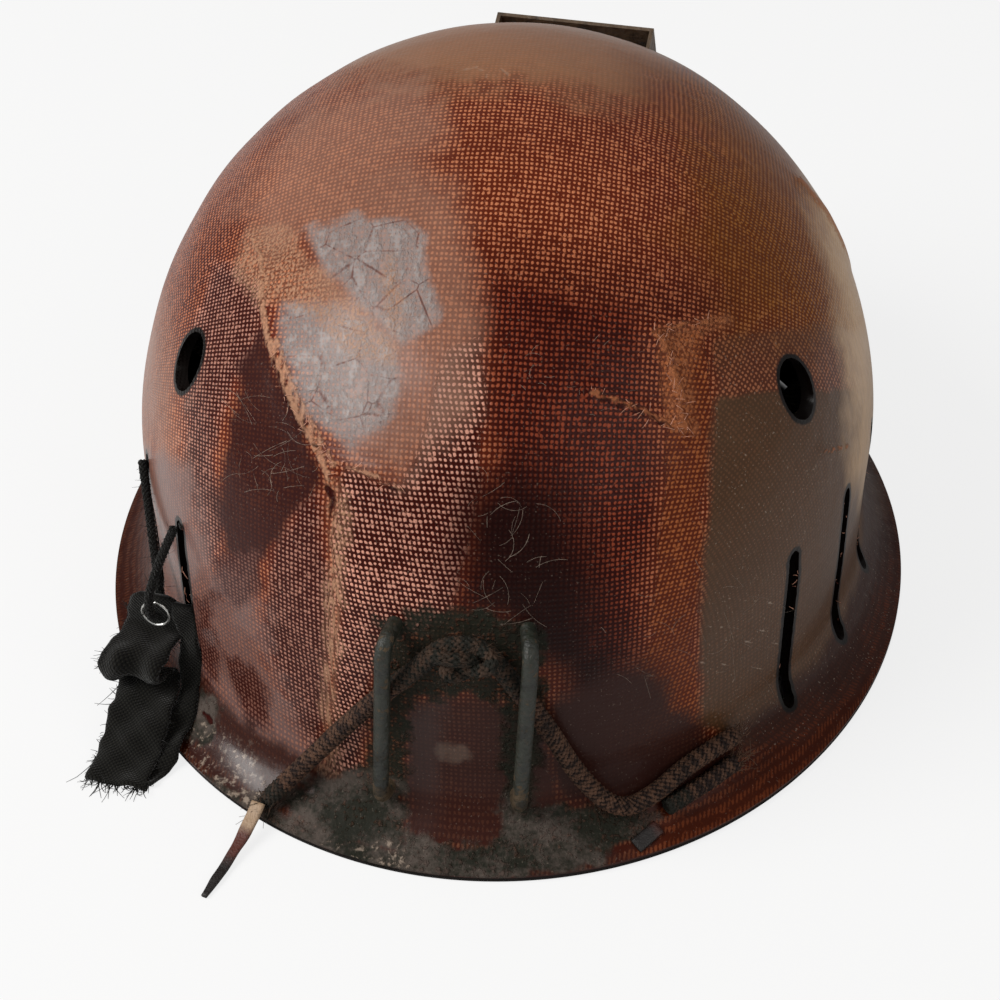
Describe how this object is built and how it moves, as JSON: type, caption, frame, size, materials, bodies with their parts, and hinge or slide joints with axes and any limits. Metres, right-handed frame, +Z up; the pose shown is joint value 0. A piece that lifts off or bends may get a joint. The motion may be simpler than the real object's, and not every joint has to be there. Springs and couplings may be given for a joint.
{
  "type": "miner helmet",
  "caption": "Domed helmet with a flared brim, side slots, a front lamp bracket, rear wire cable keepers with a cord, a laced strap and a webbing cradle.",
  "frame": {"origin": "on the ground under the middle of the shell's brim", "axes": "+Z up through the crown, +Y towards the wearer's front with the lamp bracket, +X to the wearer's right"},
  "size_m": [0.2456, 0.3027, 0.159],
  "materials": {
    "shell": "worn resin-bonded canvas, satin, with scuffs and stains",
    "bracket_paint": "dark green-grey paint over steel, chipped",
    "keeper_paint": "dark green paint over steel wire, worn bare low down",
    "steel": "dull steel, lightly rusted",
    "cord": "braided cotton cord, dark brown with tan highlights",
    "thong": "flat leather thong, brown",
    "strap": "near-black woven strap cloth, frayed",
    "grommet": "dull grey steel eyelet",
    "brass": "tarnished brass",
    "lace": "near-black fuzzy lace cord",
    "webbing": "cotton webbing, tan",
    "band": "stiff brown band leather",
    "lining": "soft lining leather"
  },
  "bodies": {
    "helmet": {"shell": "shell", "lamp_bracket": "bracket_paint", "bracket_rivets": "steel", "bracket_washers": "steel", "cable_keeper_left": "keeper_paint", "cable_keeper_right": "keeper_paint", "keeper_washers": "steel", "hat_cord": "cord", "cord_tail": "cord", "thong_left": "thong", "thong_right": "thong", "lace_inside": "lace", "hanger_pads": "band", "hanger_hooks": "steel", "crown_lace": "lace", "headband": "band", "sweatband": "lining", "headband_rivets": "brass", "size_studs": "brass", "cradle_arm_1": "webbing", "cradle_arm_2": "webbing", "cradle_arm_3": "webbing", "cradle_arm_4": "webbing", "cradle_arm_5": "webbing", "cradle_arm_6": "webbing"},
    "lace": {"strap_lace": "lace"},
    "strap": {"chin_strap": "strap", "strap_grommet": "grommet"},
    "nape": {"nape_band": "band", "nape_pad": "lining"}
  },
  "joints": [
    {"name": "lace_swing", "type": "hinge", "parent": "helmet", "child": "lace", "pos_m": [-0.0841, -0.08238, 0.063], "axis": [-0.4671, 0.8842, 0], "range_deg": [0, 80]},
    {"name": "strap_swing", "type": "hinge", "parent": "lace", "child": "strap", "pos_m": [-0.0927, -0.0811, 0.031], "axis": [-0.986, 0.1668, 0], "range_deg": [0, 30]},
    {"name": "nape_slide", "type": "slide", "parent": "helmet", "child": "nape", "axis": [0, -1, 0], "range_m": [0, 0.014]}
  ]
}
